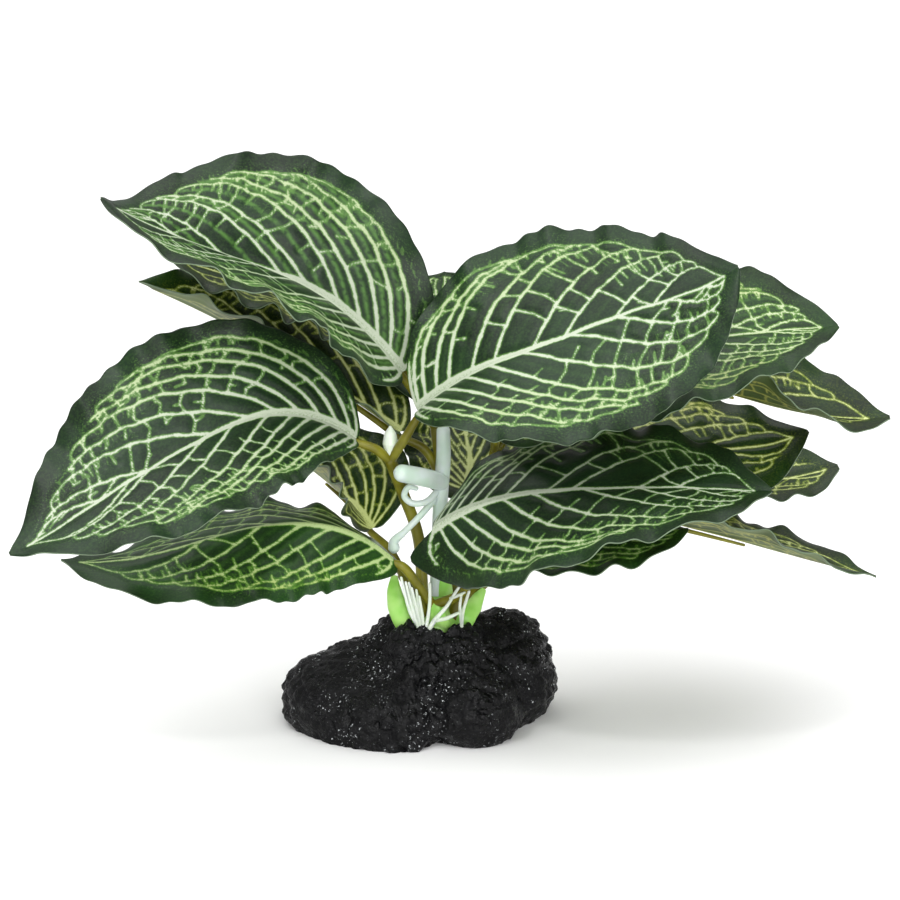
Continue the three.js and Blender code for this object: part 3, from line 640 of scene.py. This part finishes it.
def blade_points(leaf, s, u, length):
    """The blade's middle surface at s along it and u across it, -1 at its left edge and 1 at its right."""
    forward, right, up = midrib_axes(leaf, s)
    side = np.where(u < 0, -1.0, 1.0)
    out = np.abs(u)
    scallops = SCALLOP_DEPTH * np.sin(2 * math.pi * s * length / SCALLOP_LENGTH + side + leaf["width"])
    reach = out * half_width(leaf, s) + scallops * out**6 * np.sin(math.pi * s)
    rises = np.where(u < 0, half_rise(leaf["left"], s), half_rise(leaf["right"], s))
    tilt = rises + math.radians(leaf["cup"]) * out / 2
    phase = 2 * math.pi * (RUFFLES * s + 0.25 * side) + leaf["width"]
    envelope = np.sqrt(np.maximum(np.sin(math.pi * s), 0))
    wave = leaf["ruffle"] * out**3 * envelope * np.sin(phase)
    crimp_phase = 2 * math.pi * s * length / CRIMP_LENGTH + 1.7 * np.sin(5 * s + side) + side
    uneven = 0.65 + 0.35 * np.sin(2 * math.pi * (3.3 * s + 0.4 * side) + leaf["width"])
    wave = wave + CRIMP_HEIGHT * out**5 * envelope * uneven * np.sin(crimp_phase)
    across = side * (reach * np.cos(tilt) - wave * np.sin(tilt))
    above = reach * np.sin(tilt) + wave * np.cos(tilt)
    return (
        midrib_points(leaf, s)
        - forward * lobe_reach(leaf, s, u)[..., None]
        + right * across[..., None]
        + up * above[..., None]
    )


# ---- Veins ----
def side_vein(leaf, length, start, side, steepness):
    """The places (s, u) along one side vein: nearly straight at first, then bending along the margin."""
    reach = NET_REACH * (1 - start ** (1.2 * min(steepness, 2)))
    slant = steepness * (max(0.95 - 1.1 * start, 0.42) + 0.9 * math.exp(-start / 0.03))
    s = np.linspace(start, 0.93, 240)
    straight = slant * np.maximum(s - start, 0) * length / half_width(leaf, s)
    u = straight / (1 + (straight * 0.93 / reach) ** SIDE_VEIN_BEND) ** (1 / SIDE_VEIN_BEND)
    ended = max(int(np.searchsorted(u, 0.97 * reach)), 12)
    kept = np.linspace(0, min(ended, len(s) - 1), 40).astype(int)
    return np.stack((s[kept], side * u[kept]), axis=-1)


def vein_net(leaf, length, steepnesses, chance):
    """Every line of the print as (kind, places, widths): the pale net, the hairs and the ghost stripes."""
    size = VEIN_SIZE * (leaf["width"] / USUAL_WIDTH) ** 0.4
    t = np.linspace(0, 1, 60)
    sway = 0.03 * np.sin(2 * math.pi * 1.3 * t + chance.uniform(0, 6)) * np.sin(math.pi * t)
    sway += 0.008 * np.sin(2 * math.pi * 7 * t + chance.uniform(0, 6)) * t
    midrib = np.stack((0.94 * t, sway), axis=-1)
    lines = [("vein", midrib, size * np.interp(t, *MIDRIB_WIDTHS))]
    starts = FEWER_SIDE_VEIN_STARTS if leaf["width"] < SMALL_LEAF else SIDE_VEIN_STARTS
    for side, steepness in zip((-1, 1), steepnesses):
        chain = [side_vein(leaf, length, 0.004, side, 2.0 * steepness)]
        for start in starts:
            begin = start * (1 + 0.12 * side) * chance.uniform(0.93, 1.07)
            chain.append(side_vein(leaf, length, begin, side, steepness * chance.uniform(0.93, 1.07)))
        for vein in chain:
            steps = np.linspace(0, 1, len(vein))
            wobble = 0.010 * np.sin(steps * 29 + chance.uniform(0, 6)) + 0.006 * np.sin(steps * 61)
            vein[:, 1] += side * wobble * np.sqrt(steps)
            vein[:, 1] += np.interp(vein[:, 0], midrib[:, 0], sway) * (1 - steps) ** 2
            widths = 0.85 + 0.35 * np.sin(math.pi * steps**0.5) - 0.45 * steps
            knots = 1 + 0.15 * np.sin(steps * 47 + vein[0, 0] * 40)
            lines.append(("vein", vein, size * widths * (1.1 - 0.5 * vein[0, 0]) * knots))
        for first, second in zip(chain[1:], chain[2:]):
            between = (first + second) / 2
            lines.append(("ghost", between, np.full(len(between), 0.8)))
        lines += cross_veins(leaf, length, chain, size, chance)
        lines += margin_veins(leaf, length, chain, side, size, chance)
    return lines


def walk(leaf, length, places):
    """How far along a line each of its places is, on the flat cloth."""
    flat = flat_places(leaf, places[:, 0], places[:, 1], length)
    return flat, np.concatenate(([0], np.cumsum(np.linalg.norm(np.diff(flat, axis=0), axis=1))))


def cross_veins(leaf, length, chain, size, chance):
    """The short veins between neighbouring side veins, closer together near the margin, and the spurs."""
    lines = []
    for first, second in zip(chain, chain[1:]):
        near, walked = walk(leaf, length, first)
        far, _ = walk(leaf, length, second)
        reach = max(8.0, walked[-1] * chance.uniform(0.2, 0.4))
        while reach < walked[-1] - 1:
            progress = reach / walked[-1]
            index = int(np.searchsorted(walked, reach))
            gaps = np.linalg.norm(far - near[index], axis=1)
            other = int(np.clip(np.argmin(gaps) + chance.integers(0, 2), 0, len(second) - 1))
            spacing = CELL_LENGTHS[0] + (CELL_LENGTHS[1] - CELL_LENGTHS[0]) * progress**0.8
            reach += spacing * chance.uniform(0.75, 1.25)
            if not 1.5 < gaps[other] < 14:
                continue
            middle = (first[index] + second[other]) / 2
            middle = middle + np.array((chance.uniform(-0.012, 0.012), chance.uniform(-0.015, 0.015)))
            places = np.array((first[index], middle, second[other]))
            widths = size * np.array((0.8, 0.45, 0.8)) * (1.0 - 0.4 * progress) * chance.uniform(0.8, 1.1)
            if chance.random() < 0.4 - 0.2 * progress:
                places, widths = places[:2][:: chance.choice((-1, 1))], widths[:2] * (0.9, 0.4)
            lines.append(("vein", places, widths))
            if chance.random() < 0.25:
                spur = middle + np.array((chance.uniform(-0.025, 0.025), chance.uniform(-0.03, 0.03)))
                lines.append(("vein", np.array((middle, spur)), size * np.array((0.5, 0.2))))
        for reach in np.arange(walked[-1] * 0.6, walked[-1], SPUR_SPACING):
            index = int(np.searchsorted(walked, reach + chance.uniform(-0.6, 0.6)))
            index = min(index, len(first) - 1)
            other = int(np.argmin(np.linalg.norm(far - near[index], axis=1)))
            tip = first[index] + (second[other] - first[index]) * chance.uniform(0.25, 0.6)
            kind = "vein" if chance.random() < 0.45 else "hair"
            lines.append((kind, np.array((first[index], tip)), size * np.array((0.4, 0.1))))
    return lines


def margin_veins(leaf, length, chain, side, size, chance):
    """The loops that join the outer ends of the side veins, and the short bristles outside them."""
    lines = []
    loops = []
    share = np.linspace(0, 1, 9)[:, None]
    for first, second in zip(chain[1:], chain[2:] + [np.array(((0.94, 0.0),) * 4)]):
        turn = first[-1] + (first[-1] - first[-6]) * 0.8
        loop = first[-1] * (1 - share) ** 2 + 2 * turn * share * (1 - share) + second[-3] * share**2
        loops.append(loop)
        if chance.random() < 0.85:
            lines.append(("vein", loop, size * np.interp(share[:, 0], (0, 0.5, 1), (0.5, 0.3, 0.45))))
    outer = np.concatenate((chain[0], chain[1][-8:], *loops))
    _, walked = walk(leaf, length, outer)
    for reach in np.arange(1.0, walked[-1], BRISTLE_SPACING):
        s = np.interp(reach + chance.uniform(-0.6, 0.6), walked, outer[:, 0])
        u = np.interp(reach, walked, outer[:, 1])
        tip = np.array((s + chance.uniform(0.0, 0.012), u + side * chance.uniform(0.01, 0.06)))
        lines.append(("hair", np.array(((s, u), tip)), np.array((0.3, 0.05))))
    return lines


def distance_to_line(points, places, widths):
    """How far each point is outside a line that has a width at each of its places."""
    nearest = np.full(points.shape[:-1], FAR_OFF)
    for start, end, wide, narrow in zip(places, places[1:], widths, widths[1:]):
        run = end - start
        share = np.clip(((points - start) @ run) / max(run @ run, 1e-9), 0, 1)
        gap = points - (start + share[..., None] * run)
        away = np.sqrt((gap**2).sum(axis=-1)) - (wide + (narrow - wide) * share) / 2
        nearest = np.minimum(nearest, away)
    return nearest


def vein_distances(leaf, length, s, u, steepnesses, chance):
    """How far each point of the blade is from the nearest line of each kind."""
    points = flat_places(leaf, s, u, length)
    sums = {kind: np.zeros(s.shape) for kind in ("vein", "hair", "ghost")}
    rows = s[:, 0]
    for kind, places, widths in vein_net(leaf, length, steepnesses, chance):
        spare = (FAR_OFF * 0.5 + max(leaf["lobes"])) / length  # points further off aren't measured
        first, last = np.searchsorted(rows, (places[:, 0].min() - spare, places[:, 0].max() + spare))
        left, right = np.searchsorted(u[0], (places[:, 1].min() - 0.35, places[:, 1].max() + 0.35))
        part = (slice(first, last), slice(left, right))
        if first >= last or left >= right:
            continue
        line = flat_places(leaf, places[:, 0], places[:, 1], length)
        away = distance_to_line(points[part], line, widths)
        sums[kind][part] += np.exp(-np.clip(away, DEEP_IN, FAR_OFF) / SOFT_JOIN)
    return [np.clip(-SOFT_JOIN * np.log(total + 1e-9), DEEP_IN, FAR_OFF) for total in sums.values()]


def make_leaf(name, leaf, seed):
    """One printed blade: top, underside and cut edge, closed all round."""
    chance = np.random.default_rng(seed)
    length = midrib_length(leaf)
    rows = int(length / BLADE_STEP)
    columns = 2 * int(leaf["width"] / BLADE_STEP / 2) + 1
    along = np.concatenate(((0.001, 0.002, 0.0035), np.linspace(0.006, 0.995, rows)))
    rows = len(along)
    s, u = np.meshgrid(along, np.linspace(-1, 1, columns), indexing="ij")
    cloth, ghost_strength, *steepnesses = PRINTS[name]
    veins, hairs, ghosts = vein_distances(leaf, length, s, u, steepnesses, chance)
    middle = blade_points(leaf, s, u, length)
    normal = unit(np.cross(np.gradient(middle, axis=1), np.gradient(middle, axis=0)))
    puffed = np.clip(veins / PUFF_START, 0, 1)
    puffed = PUFF * puffed * puffed * (3 - 2 * puffed) * (1 - np.abs(u) ** 6)
    apart = np.full(s.shape + (1,), seed * 37.0)  # gives each leaf its own part of the noise
    flat = np.concatenate((flat_places(leaf, s, u, length), apart), axis=-1)
    buckle = BUCKLE * lump_noise(flat, BUCKLE_WIDTH, seed) * (0.3 + np.abs(u))
    middle = middle + normal * (puffed + buckle - PUFF / 2)[..., None]
    lift = normal * BLADE_THICKNESS / 2
    points = np.concatenate(((middle + lift).reshape(-1, 3), (middle - lift).reshape(-1, 3)))
    index = np.arange(rows * columns).reshape(rows, columns)
    under = rows * columns
    corners = [index[:-1, :-1], index[:-1, 1:], index[1:, 1:], index[1:, :-1]]
    top = np.stack([c.ravel() for c in corners], axis=-1)
    bottom = top[:, ::-1] + under
    ring = np.concatenate((index[0, :-1], index[:-1, -1], index[-1, :0:-1], index[:0:-1, 0]))
    ahead = np.roll(ring, -1)
    edge = np.stack((ring, ring + under, ahead + under, ahead), axis=-1)
    faces = np.concatenate((top, bottom, edge))
    face_slots = np.repeat((0, 1, 2), (len(top), len(bottom), len(edge)))
    ghost = ghost_strength * np.clip(0.7 - ghosts, 0, 1)
    numbers = {
        "vein": np.tile(veins.ravel(), 2),
        "hair": np.tile(hairs.ravel(), 2),
        "ghost": np.tile(ghost.ravel(), 2),
        "flat": np.tile(flat.reshape(-1, 3), (2, 1)),
    }
    materials = (CLOTHS[cloth], BACKS[cloth], CUT_EDGE)
    node = "leaf_" + name
    return mesh_piece(node + "_cloth", points, faces, materials, [node], "leaf_fabric", numbers, face_slots)


# ---- Stems and other limbs ----
def smooth_path(places, radii, steps):
    """Places and radii along the smooth curve through the given places."""
    places = np.array(places, float)
    padded = np.concatenate(([2 * places[0] - places[1]], places, [2 * places[-1] - places[-2]]))
    path, sizes = [], []
    for i in range(len(places) - 1):
        p0, p1, p2, p3 = padded[i : i + 4]
        spans = [max(np.linalg.norm(b - a), 1e-6) ** 0.5 for a, b in ((p0, p1), (p1, p2), (p2, p3))]
        knots = np.cumsum([0] + spans)
        for t in np.linspace(knots[1], knots[2], steps, endpoint=False):
            a1 = p0 + (p1 - p0) * (t - knots[0]) / (knots[1] - knots[0])
            a2 = p1 + (p2 - p1) * (t - knots[1]) / (knots[2] - knots[1])
            a3 = p2 + (p3 - p2) * (t - knots[2]) / (knots[3] - knots[2])
            b1 = a1 + (a2 - a1) * (t - knots[0]) / (knots[2] - knots[0])
            b2 = a2 + (a3 - a2) * (t - knots[1]) / (knots[3] - knots[1])
            share = (t - knots[1]) / (knots[2] - knots[1])
            path.append(b1 + (b2 - b1) * share)
            sizes.append(radii[i] + (radii[i + 1] - radii[i]) * share)
    path.append(places[-1])
    sizes.append(radii[-1])
    return np.array(path), np.array(sizes)


CAP_RINGS = ((0.35, 0.95), (0.7, 0.72), (0.95, 0.35))  # how far out, and how wide, each ring of a cap is


def cap(ring, way, flatness):
    """The rings that round off one end of a tube, from the tube out."""
    centre, radius, circle, tangent = ring
    layers = []
    for out, wide in CAP_RINGS:
        layers.append(centre + way * tangent * out * radius * flatness + wide * radius * circle)
    return layers


def tube(places, radii, sides=16, steps=8, flatness=1.0):
    """A closed tapered tube with rounded ends, `flatness` times as deep as it is wide."""
    path, sizes = smooth_path(places, radii, steps)
    tangents = unit(np.gradient(path, axis=0))
    rings = []
    normal = np.array((0.1, 1.0, 0.2))
    for centre, tangent, radius in zip(path, tangents, sizes):
        normal = unit(normal - tangent * (normal @ tangent))
        binormal = np.cross(tangent, normal)
        turns = np.linspace(0, 2 * math.pi, sides, endpoint=False)
        ring = np.outer(np.cos(turns) * flatness, normal) + np.outer(np.sin(turns), binormal)
        rings.append((centre, radius, ring, tangent))
    layers = cap(rings[0], -1, flatness)[::-1]
    layers += [centre + radius * ring for centre, radius, ring, _ in rings]
    layers += cap(rings[-1], 1, flatness)
    points = np.concatenate(layers)
    faces = []
    for layer in range(len(layers) - 1):
        for side in range(sides):
            a = layer * sides + side
            b = layer * sides + (side + 1) % sides
            faces.append((a, b, b + sides, a + sides))
    last = (len(layers) - 1) * sides
    faces.append(tuple(range(sides))[::-1])
    faces.append(tuple(range(last, last + sides)))
    return points, faces


def joined(parts):
    """Several bodies' points and faces as one list."""
    points, faces, count = [], [], 0
    for part_points, part_faces in parts:
        points.append(part_points)
        faces += [tuple(i + count for i in face) for face in part_faces]
        count += len(part_points)
    return np.concatenate(points), faces


# The stems' radii, how far along its leaf a rib reaches, as a share, and the gap between rib and blade.
STEM = {"trunk": 2.0, "stalk": 1.6, "rib": 1.2, "rib_end": 0.5, "rib_reach": 0.58, "rib_gap": 0.5}
RIB_PLACES = (0, 0.1, 0.25, 0.42, STEM["rib_reach"])


def rib_places(leaf):
    """The middle of the rib, just under the fold of the blade, and its radii."""
    s = np.array(RIB_PLACES)
    radii = STEM["rib"] + (STEM["rib_end"] - STEM["rib"]) * s / STEM["rib_reach"]
    forward, right, up = midrib_axes(leaf, s)
    left_rise, right_rise = half_rise(leaf["left"], s)[:, None], half_rise(leaf["right"], s)[:, None]
    left_half = -right * np.cos(left_rise) + up * np.sin(left_rise)
    right_half = right * np.cos(right_rise) + up * np.sin(right_rise)
    normal = unit(np.cross(right_half - left_half, forward))
    drop = np.maximum(0, -(right_half * normal).sum(axis=1))
    depth = (BLADE_THICKNESS / 2 + STEM["rib_gap"] + radii) / np.sqrt(1 - drop**2)
    return list(midrib_points(leaf, s) - normal * depth[:, None]), list(radii)


def make_spray(name, spray):
    """One moulding: a trunk with the stalks and ribs of its leaves."""
    parts = [tube(spray["trunk"], [STEM["trunk"]] * len(spray["trunk"]))]
    for leaf_name, stalk in spray["stalks"].items():
        rib, radii = rib_places(LEAVES[leaf_name])
        parts.append(tube(list(stalk) + rib, [STEM["stalk"]] * len(stalk) + radii))
    points, faces = joined(parts)
    node = "spray_" + name
    return mesh_piece(node + "_moulding", points, faces, [STEM_PLASTIC], [node], "stem_plastic")


def limbs(items, sides=16, flatness=1.0):
    """Several limbs as one body."""
    return joined([tube(places, radii, sides, 8, flatness) for places, radii in items])


# ---- The rock ----
# The rock: where its rays start, its rings of points and the points in each, its unevenness, and the radius
# and floor of the crown's pocket.
ROCK = {
    "middle": (2, 0, 10), "bands": 190, "turns": 420,
    "roughness": 1.1, "pocket_radius": 12, "pocket_floor": 27,
}
GRAVEL = ((4.6, 2.8, 1), (2.3, 1.3, 5))  # each grade's width, its height and its seed
GRAVEL_SUNK = 1.9  # how far the gravel is sunk into the rock's surface
# The rock's lumps: the middle of each, and its reach in X, Y and Z.
ROCK_LUMPS = (
    ((6, 2, 14), (27, 26, 26)),
    ((-21, -1, 7), (25, 25, 19)),
    ((28, 8, 12), (18, 21, 23)),
    ((-9, -13, 6), (20, 20, 15)),
    ((18, -13, 8), (16, 19, 17)),
    ((6, 18, 8), (24, 16, 20)),
)
LUMP_JOIN = 12  # higher is a sharper crease between the lumps
CROWN = (6, 0)


def make_rock():
    """The resin rock: softly joined lumps under coarse grit, with the crown's pocket in its top."""
    polar, turn = np.meshgrid(
        np.linspace(0.004, math.pi - 0.004, ROCK["bands"]),
        np.linspace(0, 2 * math.pi, ROCK["turns"], endpoint=False),
        indexing="ij",
    )
    ray = np.stack((np.sin(polar) * np.cos(turn), np.sin(polar) * np.sin(turn), np.cos(polar)), axis=-1)
    reach = np.zeros(polar.shape)
    for at, size in ROCK_LUMPS:
        start = (np.array(ROCK["middle"]) - np.array(at)) / np.array(size)
        scaled = ray / np.array(size)
        a, b, c = (scaled**2).sum(-1), 2 * (scaled * start).sum(-1), start @ start - 1
        crossing = np.maximum(b * b - 4 * a * c, 0)
        hit = np.where(crossing > 0, np.maximum((-b + np.sqrt(crossing)) / (2 * a), 0), 0)
        reach += hit**LUMP_JOIN
    reach = reach ** (1 / LUMP_JOIN)
    x, y, z = np.moveaxis(ray, -1, 0)
    reach += ROCK["roughness"] * np.sin(7 * x + 3) * np.sin(9 * y) * np.cos(8 * z)
    points = np.array(ROCK["middle"]) + ray * reach[..., None]
    gravel = sum(height * pebbles(points, width, seed) for width, height, seed in GRAVEL)
    bare = np.clip(0.95 + 0.9 * lump_noise(points, 18.0, 4), 0.4, 1)
    rough = gravel * bare + 1.0 * lump_noise(points, 10.0, 3)
    points = points + ray * (rough - GRAVEL_SUNK)[..., None]
    points[..., 2] = np.maximum(points[..., 2], 0.0)
    from_crown = np.hypot(points[..., 0] - CROWN[0], points[..., 1] - CROWN[1])
    inside = np.clip(ROCK["pocket_radius"] - from_crown, 0, 1)
    above_floor = np.maximum(points[..., 2] - ROCK["pocket_floor"], 0)
    points[..., 2] -= inside * above_floor
    index = np.arange(polar.size).reshape(polar.shape)
    ahead = np.roll(index, -1, axis=1)
    corners = [index[:-1], index[1:], ahead[1:], ahead[:-1]]
    faces = np.stack([c.ravel() for c in corners], axis=-1).tolist()
    faces += [tuple(index[0]), tuple(index[-1][::-1])]
    points = points.reshape(-1, 3)
    return mesh_piece("base_rock_grit", points, faces, [ROCK_RESIN], ["base_rock"], "resin_rock")


# ---- The pieces ----
FIRST_SEED = 3
for leaf_seed, (leaf_name, leaf_form) in enumerate(LEAVES.items(), FIRST_SEED):
    make_leaf(leaf_name, leaf_form, leaf_seed)
for spray_name, spray_form in SPRAYS.items():
    make_spray(spray_name, spray_form)
make_rock()
mesh_piece("pale_stalk_moulding", *limbs(PALE_STALK), [MILKY_PLASTIC], ["pale_stalk"], "milky_plastic")
mesh_piece("white_bud_moulding", *limbs(WHITE_BUD), [WHITE_PLASTIC], ["white_bud"], "white_plastic")
for side_name, roots in WHITE_ROOTS.items():
    node = "white_roots_" + side_name
    mesh_piece(node + "_moulding", *limbs(roots, sides=10), [WHITE_PLASTIC], [node], "white_plastic")
crown = joined([limbs([PLUG], sides=32), limbs(SHEATHS, sides=20, flatness=0.4)])
mesh_piece("crown_sheaths_moulding", *crown, [SHEATH_PLASTIC], ["crown_sheaths"], "sheath_plastic")


# ---- The studio ----
def look_from(thing, target):
    """Turns a lamp or camera to face the target."""
    thing.rotation_euler = (Vector(target) - thing.location).to_track_quat("-Z", "Y").to_euler()


def add_lamp(name, kind, place, power, target):
    """A lamp of that kind, which faces the target."""
    lamp = bpy.data.lights.new(name, kind)
    lamp.energy = power
    holder = new_object(name, lamp)
    holder.location = place
    look_from(holder, target)
    return lamp


# Matt white paper, so that the ground shows only the plant's soft shadow.
floor_material = new_material("white_paper", Base_Color=colour("#F4F4F4"), Roughness=0.9)[0]
floor_mesh = bpy.data.meshes.new("floor")
floor_mesh.from_pydata([(-6, -6, 0), (6, -6, 0), (6, 6, 0), (-6, 6, 0)], [], [(0, 1, 2, 3)])
floor_mesh.materials.append(floor_material)
floor = new_object("floor", floor_mesh)

world = bpy.data.worlds.new("studio")
world.use_nodes = True
sky = world.node_tree.nodes["Background"]
sky.inputs["Color"].default_value = colour("#FFFFFF")
sky.inputs["Strength"].default_value = 0.5
bpy.context.scene.world = world

# A wide high sun for even light, a soft box for the leaves' fronts, and a small lamp for the glints.
LAMP_TARGET = (0.01, 0, 0.09)  # the middle of the plant, in metres
high_sun = add_lamp("high_sun", "SUN", (-0.12, -0.10, 1.0), power=3.0, target=(0, 0, 0))
high_sun.angle = math.radians(90)
front_soft_box = add_lamp("front_soft_box", "AREA", (0.25, -1.1, 0.45), power=7, target=LAMP_TARGET)
front_soft_box.size = 0.7
small_key = add_lamp("small_key", "AREA", (-0.45, -0.8, 1.2), power=3, target=LAMP_TARGET)
small_key.size = 0.12

CAMERA_TARGET = Vector((10.7, 0, 94.9)) * MM
CAMERA_DISTANCE = 1100 * MM
CAMERA_ELEVATION = math.radians(15)
CAMERA_VIEW = math.radians(15.5)
camera_data = bpy.data.cameras.new("camera")
camera_data.sensor_width = 36
camera_data.lens = camera_data.sensor_width / 2 / math.tan(CAMERA_VIEW / 2)
camera = new_object("camera", camera_data)
back = Vector((0, -math.cos(CAMERA_ELEVATION), math.sin(CAMERA_ELEVATION)))
camera.location = CAMERA_TARGET + back * CAMERA_DISTANCE
look_from(camera, CAMERA_TARGET)
bpy.context.scene.camera = camera
bpy.context.scene.view_settings.view_transform = "Standard"
